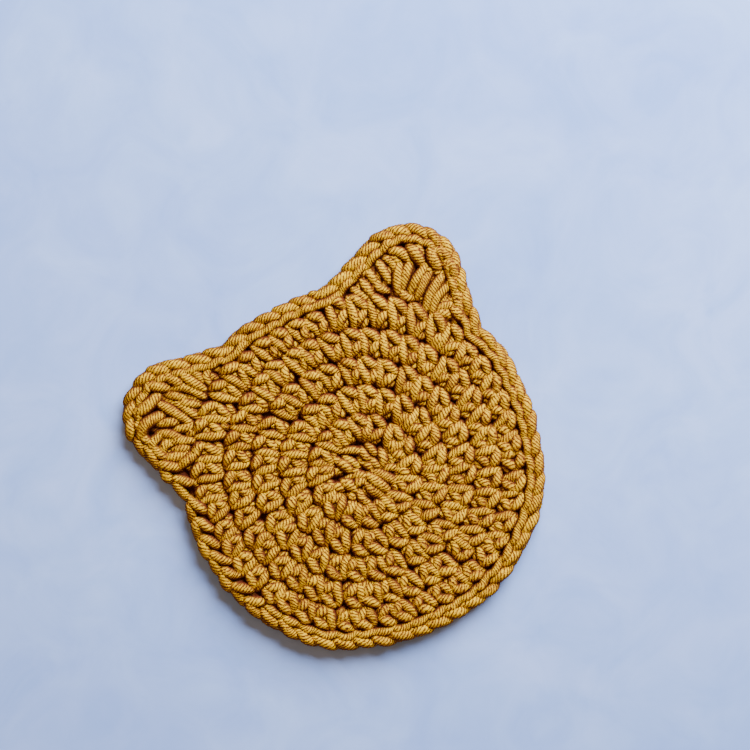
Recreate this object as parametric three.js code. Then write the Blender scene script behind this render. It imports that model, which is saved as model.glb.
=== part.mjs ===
// A crocheted coaster with the outline of an animal's head and two round ears,
// worked in one thick cotton yarn. It is one flat piece of fabric, so it is one
// closed solid: a flat underside, a rounded edge, and a top face raised into the
// stitches. Millimetres, +Z up, ears toward +Y, underside on Z = 0.
import * as THREE from 'three';

// Driving dimensions
const headRadius = 51;
const crestHeight = 5.4; // tops of the strands above the table
const dentHeight = 3.5; // dents between the strands
const rimHeight = 2.6; // where the edge stands out furthest
const footInset = 1.3; // the edge curls in this far to the table
const edgingWidth = 5.3; // slip-stitch chain all round the outline
const edgingStitches = 64;

// The rounds of the head from the middle out. start is the angle in degrees where
// the round's first stitch begins.
const rounds = [
  { stitches: 8, inner: 0, outer: 8.3, start: 8 },
  { stitches: 16, inner: 8.3, outer: 15.8, start: 31 },
  { stitches: 24, inner: 15.8, outer: 23.6, start: 4 },
  { stitches: 32, inner: 23.6, outer: 31.1, start: 17 },
  { stitches: 40, inner: 31.1, outer: 38.6, start: 6 },
  { stitches: 48, inner: 38.6, outer: headRadius - edgingWidth, start: 13 },
];
// The first round lies a little below the middle of the head.
const firstRoundShift = { x: -0.1, y: -1.9 };

// The two ears, in degrees from +X, and their shared shape: a round tip between
// two straight flanks that lean in toward the ear's axis.
const ears = [
  { axis: 45.6, reach: 69.3 },
  { axis: 134.4, reach: 68.5 },
];
const earTipRadius = 16.2;
const earFlankLean = 30.3;
const earFillet = 2.5; // soft inner corner between flank and head
const earPosts = 8; // tall stitches fanned out over each ear

// How far the outline wanders from the drawn shape, in millimetres, by direction
// from the middle of the head in degrees.
const outlineDrift = [
  { direction: -178, out: -0.3 },
  { direction: -155, out: 0.5 },
  { direction: -130, out: 1.2 },
  { direction: -115, out: -0.3 },
  { direction: -90, out: -0.6 },
  { direction: -75, out: 0.3 },
  { direction: -38, out: 0.6 },
  { direction: -20, out: -0.4 },
  { direction: 0, out: 0 },
  { direction: 11, out: 0.9 },
  { direction: 28, out: -0.4 },
  { direction: 45, out: 0 },
  { direction: 90, out: -0.6 },
  { direction: 105, out: 0.4 },
  { direction: 115, out: -0.5 },
  { direction: 135, out: 0 },
  { direction: 155, out: -0.6 },
];

// One body stitch seen from above. out runs from 0 at the round's inner side to 1
// at its outer side, across from 0 to 1 clockwise over the stitch's width, and rise
// from 0 in a dent to 1 on a crest. Two legs lean together into a V, and the loop
// on top slants over the right-hand leg.
const bodyStitch = [
  { out: 0.06, points: [
    { across: 0.18, rise: 0.45 },
    { across: 0.45, rise: 0.1 },
    { across: 0.7, rise: 0.5 },
    { across: 0.95, rise: 0.6 },
  ] },
  { out: 0.28, points: [
    { across: 0.12, rise: 0.1 },
    { across: 0.36, rise: 1 },
    { across: 0.58, rise: 0.75 },
    { across: 0.88, rise: 0.55 },
  ] },
  { out: 0.52, points: [
    { across: 0, rise: 0.25 },
    { across: 0.23, rise: 1 },
    { across: 0.44, rise: 0.2 },
    { across: 0.68, rise: 0.85 },
  ] },
  { out: 0.74, points: [
    { across: 0.09, rise: 0.9 },
    { across: 0.33, rise: 0.25 },
    { across: 0.6, rise: 0.65 },
    { across: 0.86, rise: 1 },
  ] },
  { out: 0.93, points: [
    { across: 0.05, rise: 0.4 },
    { across: 0.28, rise: 0.95 },
    { across: 0.55, rise: 0.9 },
    { across: 0.8, rise: 0.3 },
  ] },
];
const firstRoundRows = 3; // only the outer rows of a stitch fit round the middle
const middleRing = { points: 8, radius: 1.7, rise: 0.8 };
const middleRise = 0.1;

// The edging across its width, from the body out to the rim, with the rise at
// three points along one slip stitch.
const edgingColumns = ['start', 'middle', 'end'];
const edgingRows = [
  { inset: 4.1, start: 1, middle: 0.9, end: 0.7 },
  { inset: 2.8, start: 0.2, middle: 0.45, end: 0.85 },
  { inset: 1.4, start: 0.95, middle: 0.8, end: 0.35 },
];
const bodyEdgeRise = 0.12; // groove between the edging and what it is worked into
// Each slip stitch bulges over the rim by these millimetres.
const rimBulge = { start: 0.25, middle: 0.1, end: -0.35 };

// Rows up an ear from its base on the head to the edging, and the profile across
// one post.
const earRows = [
  { out: 0.22, rise: 0.75 },
  { out: 0.48, rise: 1 },
  { out: 0.76, rise: 0.95 },
];
const postProfile = [
  { line: 'groove', rise: 0 },
  { line: 'first strand', rise: 0.95 },
  { line: 'parting', rise: 0.55 },
  { line: 'second strand', rise: 1 },
];
const earBaseRise = 0.3;

// Hand-worked unevenness
const stitchSlip = 0.07; // part of a stitch's width that a stitch sits off its place
const heightPlay = 0.07; // part of the relief

const radians = THREE.MathUtils.degToRad;
const heading = (angle) => ({ x: Math.cos(angle), y: Math.sin(angle) });
const along = (from, direction, distance) => ({
  x: from.x + direction.x * distance,
  y: from.y + direction.y * distance,
});
const between = (from, to, share) => ({
  x: from.x + (to.x - from.x) * share,
  y: from.y + (to.y - from.y) * share,
});

// A repeatable number from -1 to 1 for a pair of counters.
function play(first, second) {
  const wave = Math.sin(first * 12.9898 + second * 78.233) * 43758.5453;
  return 2 * (wave - Math.floor(wave)) - 1;
}

// The outline's drift at an angle, eased from one table row to the next.
function driftAt(angle) {
  const turn = 360;
  const degrees = THREE.MathUtils.euclideanModulo(THREE.MathUtils.radToDeg(angle) + 180, turn) - 180;
  const next = outlineDrift.findIndex((row) => row.direction > degrees);
  const last = outlineDrift.length - 1;
  const before = next > 0 ? outlineDrift[next - 1] : outlineDrift[last];
  const after = next >= 0 ? outlineDrift[next] : outlineDrift[0];
  const span = THREE.MathUtils.euclideanModulo(after.direction - before.direction, turn);
  const done = THREE.MathUtils.euclideanModulo(degrees - before.direction, turn) / span;
  return THREE.MathUtils.lerp(before.out, after.out, THREE.MathUtils.smoothstep(done, 0, 1));
}

// An arc of the outline about a centre. A hollow corner has a negative radius, and
// its outward direction turns clockwise.
function arcPiece(centre, radius, from, to) {
  return {
    length: Math.abs(radius * (to - from)),
    at(share) {
      const outward = heading(from + (to - from) * share);
      return { ...along(centre, outward, radius), outward };
    },
  };
}

function straightPiece(from, to, outward) {
  return {
    length: Math.hypot(to.x - from.x, to.y - from.y),
    at: (share) => ({ ...between(from, to, share), outward }),
  };
}

// Lays out one ear: where it leaves the head, its tip and its two flanks.
function earShape({ axis, reach }) {
  const middle = radians(axis);
  const flankTurn = radians(90 - earFlankLean);
  const tipDistance = reach - earTipRadius;
  const flankDistance = tipDistance * Math.cos(flankTurn) + earTipRadius;
  const filletTurn = flankTurn - Math.acos((flankDistance + earFillet) / (headRadius + earFillet));
  const tipCentre = along({ x: 0, y: 0 }, heading(middle), tipDistance);
  const side = (sign) => {
    const outward = heading(middle + sign * flankTurn);
    const centre = along({ x: 0, y: 0 }, heading(middle + sign * filletTurn), headRadius + earFillet);
    return {
      fillet: arcPiece(
        centre,
        -earFillet,
        middle + sign * (sign < 0 ? filletTurn : flankTurn),
        middle + sign * (sign < 0 ? flankTurn : filletTurn),
      ),
      inner: along(centre, outward, -earFillet),
      outer: along(tipCentre, outward, earTipRadius),
      outward,
    };
  };
  const right = side(-1);
  const left = side(1);
  const pieces = [
    right.fillet,
    straightPiece(right.inner, right.outer, right.outward),
    arcPiece(tipCentre, earTipRadius, middle - flankTurn, middle + flankTurn),
    straightPiece(left.outer, left.inner, left.outward),
    left.fillet,
  ];
  return { from: middle - filletTurn, to: middle + filletTurn, pieces };
}

// The whole outline counter-clockwise: head, right ear, head, left ear. Each piece
// knows the ear that it belongs to.
const earShapes = ears.map(earShape);
const outline = [];
earShapes.forEach((ear, index) => {
  const previous = earShapes[(index + earShapes.length - 1) % earShapes.length];
  const start = index === 0 ? previous.to - 2 * Math.PI : previous.to;
  outline.push({ ear: null, ...arcPiece({ x: 0, y: 0 }, headRadius, start, ear.from) });
  ear.pieces.forEach((piece) => outline.push({ ear: index, ...piece }));
});
const outlineLength = outline.reduce((sum, piece) => sum + piece.length, 0);

// A point on the outline at a share of its length, moved in by an inset.
function outlinePoint(share, inset) {
  let rest = THREE.MathUtils.euclideanModulo(share, 1) * outlineLength;
  let piece = outline[outline.length - 1];
  for (const candidate of outline) {
    if (rest <= candidate.length) {
      piece = candidate;
      break;
    }
    rest -= candidate.length;
  }
  const point = piece.at(Math.min(rest / piece.length, 1));
  const drift = driftAt(Math.atan2(point.y, point.x));
  return { ...along(point, point.outward, drift - inset), ear: piece.ear };
}

// A point of the rounds, whose middle slides from the first round's place to the
// middle of the head as they grow.
function roundPoint(radius, angle) {
  const grown = (radius / rounds[rounds.length - 1].outer) ** 2;
  const reach = radius + driftAt(angle) * grown;
  const shift = 1 - grown;
  return {
    x: firstRoundShift.x * shift + reach * Math.cos(angle),
    y: firstRoundShift.y * shift + reach * Math.sin(angle),
  };
}

// The mesh under construction. A row is a list of { index, at }, where at grows
// counter-clockwise.
const positions = [];
const triangles = [];

function vertex({ x, y }, z) {
  positions.push(x, y, z);
  return positions.length / 3 - 1;
}

function surfaceHeight(rise, seedA, seedB) {
  const relief = THREE.MathUtils.clamp(rise + heightPlay * play(seedA, seedB), 0, 1);
  return THREE.MathUtils.lerp(dentHeight, crestHeight, relief);
}

function addTriangle(a, b, c) {
  if (a !== b && b !== c && c !== a) triangles.push(a, b, c);
}

// Joins two rows of any number of points, the nearer to the start of the list first.
function joinRows(first, second, closed = true) {
  const wrap = (row) => (closed ? [...row, { index: row[0].index, at: row[0].at + 1 }] : row);
  const inner = wrap(first);
  const outer = wrap(second);
  let i = 0;
  let j = 0;
  while (i < inner.length - 1 || j < outer.length - 1) {
    const innerNext = i < inner.length - 1 ? inner[i + 1].at : Infinity;
    const outerNext = j < outer.length - 1 ? outer[j + 1].at : Infinity;
    if (innerNext < outerNext) {
      addTriangle(inner[i].index, outer[j].index, inner[i + 1].index);
      i += 1;
    } else {
      addTriangle(inner[i].index, outer[j].index, outer[j + 1].index);
      j += 1;
    }
  }
}

// Puts a closed row in order from its point nearest to the start of the turn.
function ordered(row) {
  return row
    .map(({ index, at }) => ({ index, at: THREE.MathUtils.euclideanModulo(at, 1) }))
    .sort((a, b) => a.at - b.at);
}

// One row of points round the head, at one height of its stitches.
function bodyRow(round, roundIndex, row) {
  const points = [];
  const radius = THREE.MathUtils.lerp(round.inner, round.outer, row.out);
  for (let stitch = 0; stitch < round.stitches; stitch += 1) {
    const slip = stitchSlip * play(roundIndex + 1, stitch);
    row.points.forEach(({ across, rise }, column) => {
      const turn = round.start / 360 - (stitch + across + slip) / round.stitches;
      const place = roundPoint(radius, turn * 2 * Math.PI);
      const height = surfaceHeight(rise, stitch + 0.1 * column, roundIndex + row.out);
      points.push({ index: vertex(place, height), at: turn });
    });
  }
  return ordered(points);
}

// The edging's points at one inset, counted from the start of the outline.
function edgingRow(inset, height) {
  const count = edgingStitches * edgingColumns.length;
  return Array.from({ length: count }, (_, step) => {
    const column = edgingColumns[edgingColumns.length - 1 - (step % edgingColumns.length)];
    const at = step / count;
    const place = outlinePoint(at, inset(column));
    return { index: vertex(place, height(column, step)), at, place };
  });
}

const turnOf = ({ x, y }) => THREE.MathUtils.euclideanModulo(Math.atan2(y, x) / (2 * Math.PI), 1);

// The middle of the head: a dent inside a small raised ring.
const middle = [{ index: vertex(firstRoundShift, surfaceHeight(middleRise, 0, 0)), at: 0 }];
let lastRow = Array.from({ length: middleRing.points }, (_, step) => {
  const at = step / middleRing.points;
  const place = roundPoint(middleRing.radius, at * 2 * Math.PI);
  return { index: vertex(place, surfaceHeight(middleRing.rise, step, 1)), at };
});
joinRows(middle, lastRow);

// The six rounds of the head.
rounds.forEach((round, roundIndex) => {
  const rows = roundIndex === 0 ? bodyStitch.slice(-firstRoundRows) : bodyStitch;
  rows.forEach((row) => {
    const points = bodyRow(round, roundIndex, row);
    joinRows(lastRow, points);
    lastRow = points;
  });
});

// The inner side of the edging. On the head it is also the last round's outer side.
// Over an ear it runs up and round, away from the head, and an arc across the ear's
// base closes the head there.
const innerEdge = edgingRow(
  () => edgingWidth,
  (column, step) => surfaceHeight(bodyEdgeRise, step, 7),
);
const headSide = [];
const fans = ears.map(() => ({ rim: [] }));
innerEdge.forEach((point) => {
  const { ear } = point.place;
  if (ear === null) headSide.push({ index: point.index, at: turnOf(point.place) });
  else fans[ear].rim.push(point);
});

fans.forEach((fan, index) => {
  const { from, to } = earShapes[index];
  const baseCount = earPosts * postProfile.length;
  const firstRim = innerEdge.indexOf(fan.rim[0]);
  const lastRim = innerEdge.indexOf(fan.rim[fan.rim.length - 1]);
  const rightEnd = innerEdge[firstRim - 1];
  const leftEnd = innerEdge[(lastRim + 1) % innerEdge.length];
  const base = Array.from({ length: baseCount - 1 }, (_, step) => {
    const at = (step + 1) / baseCount;
    const angle = THREE.MathUtils.lerp(from, to, at);
    const place = roundPoint(headRadius - edgingWidth, angle);
    const index = vertex(place, surfaceHeight(earBaseRise, step, 11));
    headSide.push({ index, at: turnOf(place) });
    return { index, at, place };
  });
  const startPoint = { ...rightEnd, at: 0 };
  const endPoint = { ...leftEnd, at: 1 };
  const rimPlaces = [rightEnd, ...fan.rim, leftEnd].map((point) => point.place);
  const rimRow = [startPoint, ...fan.rim.map((point, step) => ({
    index: point.index,
    at: (step + 1) / (fan.rim.length + 1),
  })), endPoint];
  const rimAt = (share) => {
    const spot = share * (rimPlaces.length - 1);
    const low = Math.min(Math.floor(spot), rimPlaces.length - 2);
    return between(rimPlaces[low], rimPlaces[low + 1], spot - low);
  };
  let lastFan = [startPoint, ...base, endPoint];
  earRows.forEach((row, rowIndex) => {
    const points = base.map((point, step) => {
      const crest = postProfile[(step + 1) % postProfile.length].rise;
      const place = between(point.place, rimAt(point.at), row.out);
      const height = surfaceHeight(crest * row.rise, step, 13 + rowIndex);
      return { index: vertex(place, height), at: point.at };
    });
    const fanRow = [startPoint, ...points, endPoint];
    joinRows(lastFan, fanRow, false);
    lastFan = fanRow;
  });
  joinRows(lastFan, rimRow, false);
});
joinRows(lastRow, ordered(headSide));

// The edging itself, the rim and the foot on the table.
lastRow = innerEdge;
edgingRows.forEach((line, rowIndex) => {
  const height = (column, step) => surfaceHeight(line[column], step, 17 + rowIndex);
  const row = edgingRow(() => line.inset, height);
  joinRows(lastRow, row);
  lastRow = row;
});
const rim = edgingRow((column) => -rimBulge[column], () => rimHeight);
joinRows(lastRow, rim);
const footCount = edgingStitches;
const foot = Array.from({ length: footCount }, (_, step) => {
  const at = (step + 0.5) / footCount;
  return { index: vertex(outlinePoint(at, footInset), 0), at };
});
joinRows(rim, foot);

// The flat underside: a wide ring round one plain nine-sided face.
const baseRing = { points: 9, radius: 38 };
const underside = Array.from({ length: baseRing.points }, (_, step) => {
  const at = step / baseRing.points;
  return { index: vertex(along({ x: 0, y: 0 }, heading(at * 2 * Math.PI), baseRing.radius), 0), at };
});
const footByTurn = foot.map(({ index }) => {
  const place = { x: positions[3 * index], y: positions[3 * index + 1] };
  return { index, at: turnOf(place) };
});
joinRows(ordered(footByTurn), underside);
for (let corner = 1; corner < baseRing.points - 1; corner += 1) {
  addTriangle(underside[corner].index, underside[0].index, underside[corner + 1].index);
}

const geometry = new THREE.BufferGeometry();
geometry.setAttribute('position', new THREE.Float32BufferAttribute(positions, 3));
geometry.setIndex(triangles);
geometry.computeBoundingBox();
const centre = geometry.boundingBox.getCenter(new THREE.Vector3());
geometry.translate(-centre.x, -centre.y, 0);
geometry.computeVertexNormals();

const yarn = new THREE.MeshStandardMaterial({ color: 0xc9962f, roughness: 0.95, metalness: 0 });
const coaster = new THREE.Mesh(geometry, yarn);
coaster.name = 'coaster';

const model = new THREE.Group();
model.add(coaster);
export default model;
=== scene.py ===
# A crocheted coaster in the outline of an animal's head with two round ears.
# Every strand of its thick cotton yarn is laid along its own path: rounds of
# stitches on the head, a fan of tall stitches on each ear, and a chain of slip
# stitches round the outline.
import bisect
import math
import random
from collections import namedtuple

import bpy
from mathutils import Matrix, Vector


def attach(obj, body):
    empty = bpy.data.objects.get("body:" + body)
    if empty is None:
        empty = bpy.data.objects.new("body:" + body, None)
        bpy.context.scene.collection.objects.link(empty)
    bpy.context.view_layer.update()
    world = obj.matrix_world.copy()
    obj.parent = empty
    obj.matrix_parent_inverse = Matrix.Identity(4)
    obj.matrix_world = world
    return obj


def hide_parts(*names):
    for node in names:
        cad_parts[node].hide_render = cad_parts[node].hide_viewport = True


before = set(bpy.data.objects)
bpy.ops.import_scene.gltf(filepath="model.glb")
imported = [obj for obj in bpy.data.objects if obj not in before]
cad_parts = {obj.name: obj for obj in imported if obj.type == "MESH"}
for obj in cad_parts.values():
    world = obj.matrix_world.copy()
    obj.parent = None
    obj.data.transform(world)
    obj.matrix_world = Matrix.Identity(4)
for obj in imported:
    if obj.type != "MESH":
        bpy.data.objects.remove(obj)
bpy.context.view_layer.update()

NODE = "coaster"
MM = 0.001

# The coaster's driving sizes in millimetres, the same as its solid's.
HEAD_RADIUS = 51.0
EDGING_WIDTH = 5.3
EDGING_STITCHES = 64
EAR_TIP_RADIUS = 16.2
EAR_FLANK_LEAN = 30.3  # degrees that an ear's flanks lean in toward its axis
EAR_FILLET = 2.5  # radius of the hollow corners where an ear meets the head
EAR_POSTS = 8
LOW_POST = 6.0  # a post shorter than this has a single strand
FIRST_ROUND_SHIFT = Vector((-0.1, -1.9))  # of the first round's middle from the head's

# axis is an ear's direction from the head's middle in degrees, and reach is how far
# its tip is from there.
Ear = namedtuple("Ear", "name axis reach")
EARS = (
    Ear(name="ear_right", axis=45.6, reach=69.3),
    Ear(name="ear_left", axis=134.4, reach=68.5),
)

# The rounds of the head from the middle out. start is where the round's first
# stitch begins, in degrees. The stitch counted by widened shares the stitch under
# it with the one before, in each eighth of the round.
Round = namedtuple("Round", "stitches inner outer start widened")
ROUNDS = (
    Round(stitches=8, inner=0.0, outer=8.3, start=8, widened=0),
    Round(stitches=16, inner=8.3, outer=15.8, start=31, widened=1),
    Round(stitches=24, inner=15.8, outer=23.6, start=4, widened=2),
    Round(stitches=32, inner=23.6, outer=31.1, start=17, widened=1),
    Round(stitches=40, inner=31.1, outer=38.6, start=6, widened=3),
    Round(stitches=48, inner=38.6, outer=HEAD_RADIUS - EDGING_WIDTH, start=13, widened=4),
)
SECTORS = 8

# How far the outline wanders from the drawn shape, in millimetres, by direction
# from the middle of the head in degrees.
Drift = namedtuple("Drift", "direction out")
OUTLINE_DRIFT = (
    Drift(direction=-178, out=-0.3),
    Drift(direction=-155, out=0.5),
    Drift(direction=-130, out=1.2),
    Drift(direction=-115, out=-0.3),
    Drift(direction=-90, out=-0.6),
    Drift(direction=-75, out=0.3),
    Drift(direction=-38, out=0.6),
    Drift(direction=-20, out=-0.4),
    Drift(direction=0, out=0.0),
    Drift(direction=11, out=0.9),
    Drift(direction=28, out=-0.4),
    Drift(direction=45, out=0.0),
    Drift(direction=90, out=-0.6),
    Drift(direction=105, out=0.4),
    Drift(direction=115, out=-0.5),
    Drift(direction=135, out=0.0),
    Drift(direction=155, out=-0.6),
)

# The yarn: six plies twisted hard into one strand.
YARN_RADIUS = 1.34
PLIES = 6
PLY_PITCH = 0.78  # from one ply to the next along the strand
PLY_GROOVE = 0.16  # depth of the groove between plies
TIGHTEST_LAY = 0.85  # what the tightest strand has of that pitch
LAY_SPREAD = 0.3  # and how much more the loosest has
FACE_SPACING = 0.3  # between the rings of points that a strand is drawn with
BACK_SPACING = 0.46  # the same where only the underside shows it

# Where a strand bends. across runs from 0 to 1 clockwise over a stitch's width, out
# from 0 to 1 from its foot to its top, height is the strand's middle above the
# table in millimetres, and girth its thickness as a part of the full yarn.
Bend = namedtuple("Bend", "across out height girth")

LEFT_LEG = (
    Bend(across=-0.02, out=1.00, height=2.00, girth=0.54),
    Bend(across=0.02, out=0.88, height=3.60, girth=0.90),
    Bend(across=0.10, out=0.63, height=4.20, girth=1.24),
    Bend(across=0.21, out=0.37, height=4.25, girth=1.32),
    Bend(across=0.32, out=0.12, height=3.80, girth=1.04),
    Bend(across=0.38, out=-0.01, height=2.90, girth=0.70),
    Bend(across=0.41, out=-0.08, height=1.80, girth=0.50),
)
RIGHT_LEG = (
    Bend(across=1.02, out=0.64, height=1.90, girth=0.50),
    Bend(across=0.93, out=0.58, height=3.40, girth=0.84),
    Bend(across=0.79, out=0.46, height=4.15, girth=1.22),
    Bend(across=0.64, out=0.31, height=4.20, girth=1.32),
    Bend(across=0.52, out=0.12, height=3.60, girth=0.98),
    Bend(across=0.46, out=-0.02, height=2.40, girth=0.58),
)
TOP_LOOP = (
    Bend(across=0.11, out=1.00, height=2.10, girth=0.54),
    Bend(across=0.18, out=0.95, height=3.70, girth=0.86),
    Bend(across=0.37, out=0.88, height=4.35, girth=1.24),
    Bend(across=0.58, out=0.80, height=4.45, girth=1.36),
    Bend(across=0.78, out=0.69, height=4.15, girth=1.18),
    Bend(across=0.93, out=0.55, height=3.40, girth=0.82),
    Bend(across=0.98, out=0.45, height=2.00, girth=0.52),
)
WRAP = (
    Bend(across=1.18, out=0.36, height=1.80, girth=0.70),
    Bend(across=1.08, out=0.31, height=3.00, girth=0.92),
    Bend(across=0.92, out=0.19, height=3.80, girth=1.05),
    Bend(across=0.76, out=0.06, height=3.10, girth=0.92),
    Bend(across=0.68, out=-0.04, height=1.90, girth=0.70),
)
CORE = (
    Bend(across=0.40, out=0.94, height=1.90, girth=0.60),
    Bend(across=0.45, out=0.74, height=3.40, girth=0.96),
    Bend(across=0.50, out=0.50, height=3.75, girth=1.02),
    Bend(across=0.52, out=0.27, height=3.30, girth=0.86),
    Bend(across=0.54, out=0.12, height=2.20, girth=0.60),
)
BACK_BAR = (
    Bend(across=1.10, out=0.62, height=2.30, girth=0.80),
    Bend(across=0.88, out=0.69, height=1.40, girth=0.98),
    Bend(across=0.50, out=0.74, height=1.30, girth=1.00),
    Bend(across=0.16, out=0.79, height=1.40, girth=0.98),
    Bend(across=-0.06, out=0.86, height=2.30, girth=0.80),
)
BACK_LEFT_LEG = (
    Bend(across=0.46, out=-0.08, height=2.30, girth=0.75),
    Bend(across=0.40, out=0.10, height=1.50, girth=0.95),
    Bend(across=0.34, out=0.35, height=1.35, girth=1.00),
    Bend(across=0.26, out=0.58, height=2.30, girth=0.80),
)
BACK_RIGHT_LEG = (
    Bend(across=0.96, out=-0.05, height=2.30, girth=0.75),
    Bend(across=0.94, out=0.12, height=1.50, girth=0.95),
    Bend(across=0.87, out=0.34, height=1.35, girth=1.00),
    Bend(across=0.78, out=0.56, height=2.30, girth=0.80),
)
FACE_STITCH = (LEFT_LEG, RIGHT_LEG, TOP_LOOP, WRAP)
BACK_STITCH = (BACK_BAR, BACK_LEFT_LEG, BACK_RIGHT_LEG, CORE)

# The strands that show on an ear and in the middle of the head, laid one by one as
# they lie. start, crown and end are places, each with two distances in millimetres:
# clockwise from an axis through the head's middle, and out along that axis.
Laid = namedtuple("Laid", "start crown end height girth")
RIGHT_EAR = (
    Laid(start=(9.0, 46.4), crown=(9.1, 50.4), end=(11.2, 54.6), height=4.1, girth=1.19),
    Laid(start=(6.3, 46.5), crown=(6.7, 51.5), end=(8.1, 56.5), height=4.2, girth=1.27),
    Laid(start=(3.7, 49.5), crown=(4.3, 53.8), end=(5.4, 56.8), height=4.1, girth=1.10),
    Laid(start=(-8.0, 57.4), crown=(-6.0, 56.9), end=(-4.2, 54.4), height=3.8, girth=1.10),
    Laid(start=(-6.6, 59.0), crown=(-5.0, 57.8), end=(-2.8, 57.2), height=3.5, girth=1.10),
    Laid(start=(3.0, 57.8), crown=(4.2, 57.2), end=(5.8, 56.9), height=3.6, girth=1.00),
    Laid(start=(1.5, 49.9), crown=(2.2, 53.8), end=(3.8, 58.0), height=4.2, girth=1.22),
    Laid(start=(-1.0, 50.3), crown=(-1.1, 54.5), end=(-0.6, 57.6), height=4.2, girth=1.24),
    Laid(start=(0.4, 54.9), crown=(0.8, 52.2), end=(1.9, 49.9), height=3.2, girth=1.02),
    Laid(start=(-2.3, 49.5), crown=(-3.5, 53.0), end=(-3.5, 56.8), height=4.1, girth=1.22),
    Laid(start=(-9.6, 56.1), crown=(-7.5, 54.3), end=(-5.3, 51.7), height=4.1, girth=1.19),
    Laid(start=(-8.5, 51.5), crown=(-7.5, 49.2), end=(-4.6, 49.0), height=3.9, girth=1.13),
    Laid(start=(-1.9, 50.3), crown=(0.0, 48.4), end=(2.7, 48.4), height=3.6, girth=1.13),
    Laid(start=(4.6, 48.6), crown=(6.5, 47.2), end=(8.5, 48.0), height=3.2, girth=1.02),
    Laid(start=(2.8, 51.4), crown=(3.6, 49.6), end=(5.0, 48.6), height=3.6, girth=1.07),
    Laid(start=(-11.7, 53.0), crown=(-10.2, 51.5), end=(-8.8, 49.9), height=3.6, girth=1.07),
    Laid(start=(-12.3, 49.9), crown=(-10.6, 48.4), end=(-9.2, 47.2), height=3.9, girth=1.13),
    Laid(start=(-14.4, 47.2), crown=(-12.1, 46.1), end=(-10.0, 45.5), height=3.9, girth=1.13),
    Laid(start=(-13.6, 51.4), crown=(-12.4, 52.6), end=(-11.2, 54.6), height=3.4, girth=1.02),
    Laid(start=(-6.7, 59.7), crown=(-4.2, 60.1), end=(-1.7, 58.6), height=4.3, girth=1.27),
    Laid(start=(-1.9, 61.8), crown=(-0.2, 60.7), end=(2.5, 58.6), height=4.3, girth=1.33),
    Laid(start=(-0.6, 63.8), crown=(0.6, 62.6), end=(1.7, 61.1), height=4.0, girth=0.99),
    Laid(start=(3.8, 63.4), crown=(5.2, 60.7), end=(6.9, 58.4), height=4.4, girth=1.41),
    Laid(start=(5.4, 58.0), crown=(7.3, 57.4), end=(9.6, 57.8), height=3.7, girth=0.90),
    Laid(start=(8.3, 60.5), crown=(10.8, 60.1), end=(12.1, 56.8), height=4.3, girth=1.30),
    Laid(start=(6.2, 64.3), crown=(7.7, 63.0), end=(9.4, 61.5), height=4.2, girth=1.19),
    Laid(start=(10.6, 54.5), crown=(12.1, 55.7), end=(14.2, 54.9), height=4.0, girth=1.13),
    Laid(start=(12.7, 53.4), crown=(14.0, 52.2), end=(15.2, 50.0), height=4.0, girth=1.19),
    Laid(start=(12.5, 51.5), crown=(13.6, 50.7), end=(14.4, 49.4), height=3.8, girth=1.02),
    Laid(start=(9.8, 48.0), crown=(11.9, 49.0), end=(14.0, 49.7), height=4.0, girth=1.13),
    Laid(start=(10.6, 50.2), crown=(11.8, 50.0), end=(13.2, 50.9), height=3.5, girth=0.90),
    Laid(start=(9.8, 45.9), crown=(11.9, 46.7), end=(14.0, 46.5), height=4.0, girth=1.13),
    Laid(start=(14.0, 48.6), crown=(15.4, 47.8), end=(16.8, 46.6), height=4.5, girth=1.27),
)
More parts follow.
